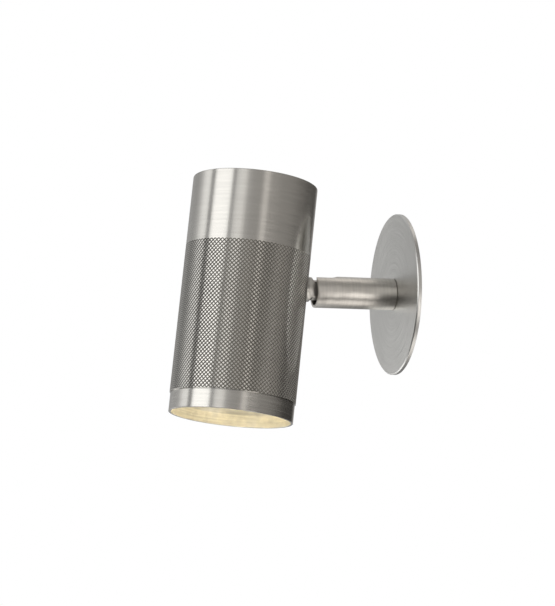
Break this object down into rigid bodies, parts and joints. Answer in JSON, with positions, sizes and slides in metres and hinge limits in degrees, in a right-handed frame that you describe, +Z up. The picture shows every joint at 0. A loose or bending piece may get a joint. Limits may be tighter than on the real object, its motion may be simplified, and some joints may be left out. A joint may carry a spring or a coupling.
{
  "type": "adjustable tube wall light",
  "caption": "Wall light with a knurled steel tube head that tilts on a short turning stem over a round wall plate, with a twist-lock reflector lamp behind the smooth ring at its mouth.",
  "frame": {"origin": "centre of the wall plate's back, on the wall and on the axis of the stem", "axes": "+Z up along the wall, +Y into the wall, -Y out from the wall along the stem, +X to the right for someone facing the wall"},
  "size_m": [0.0844, 0.1355, 0.1301],
  "materials": {
    "brushed_head": "brushed round the tube, lower part knurled in fine diamonds",
    "brushed_trim": "finely turned and smooth",
    "brushed_stem": "satin, faint lines along the tube",
    "brushed_plate": "spun in fine rings",
    "knuckle_steel": "turned, with two milled flats",
    "dark_steel": "dark, oiled",
    "zinc_plate": "bright zinc plating",
    "brass": "machined",
    "rubber": "matt",
    "nylon": "natural nylon",
    "ceramic": "glazed steatite",
    "terminal_nylon": "moulded nylon",
    "brown_lead": "silicone insulation",
    "blue_lead": "silicone insulation",
    "green_lead": "silicone insulation with a yellow stripe",
    "lamp_shell": "moulded, heat-proof",
    "led_board": "white solder mask on aluminium",
    "led_yellow": "phosphor",
    "lamp_glass": "frosted, lit warm white"
  },
  "bodies": {
    "wall": {"wall_plate": "brushed_plate", "mounting_strap": "zinc_plate", "hollow_nipple": "zinc_plate", "nipple_nut": "zinc_plate", "nipple_lock_washer": "zinc_plate", "stem_hub": "brass", "hub_o_ring": "rubber", "hub_stop_pin": "dark_steel", "strap_earth_screw": "brass", "strap_earth_tag": "zinc_plate", "terminal_block": "terminal_nylon", "terminal_screws": "brass", "terminal_fixing_screw": "zinc_plate", "wall_live_lead": "brown_lead", "wall_neutral_lead": "blue_lead", "wall_earth_lead": "green_lead"},
    "stem": {"stem_tube": "brushed_stem", "hinge_fork": "dark_steel", "trunnion_screws": "zinc_plate", "friction_washers": "nylon", "stem_set_screws": "dark_steel", "stem_live_lead": "brown_lead", "stem_neutral_lead": "blue_lead", "stem_earth_lead": "green_lead"},
    "head": {"swivel_knuckle": "knuckle_steel", "knuckle_dowel": "dark_steel", "head_tube": "brushed_head", "top_cap": "brushed_trim", "trim_ring": "brushed_trim", "saddle_washer": "zinc_plate", "stud_lock_washer": "zinc_plate", "stud_nut": "zinc_plate", "lampholder_bracket": "zinc_plate", "lampholder_body": "ceramic", "lampholder_contacts": "brass", "lampholder_screws": "zinc_plate", "head_live_lead": "brown_lead", "head_neutral_lead": "blue_lead", "head_earth_lead": "green_lead", "head_earth_tag": "zinc_plate", "head_earth_screw": "brass", "head_earth_nut": "brass"},
    "lamp": {"lamp_base": "lamp_shell", "lamp_pins": "zinc_plate", "lamp_housing": "lamp_shell", "lamp_led_board": "led_board", "lamp_leds": "led_yellow", "lamp_lens": "lamp_glass"}
  },
  "joints": [
    {"name": "stem_turn", "type": "hinge", "parent": "wall", "child": "stem", "pos_m": [0, -0.0156, 0], "axis": [0, -1, 0], "range_deg": [-150, 150]},
    {"name": "head_tilt", "type": "hinge", "parent": "stem", "child": "head", "pos_m": [0, -0.0384, 0], "axis": [-1, 0, 0], "range_deg": [-14.6, 45.4]},
    {"name": "lamp_twist", "type": "hinge", "parent": "head", "child": "lamp", "pos_m": [0, -0.08201, 0.00505], "axis": [0, 0.1149, 0.9934], "range_deg": [0, 20]}
  ]
}
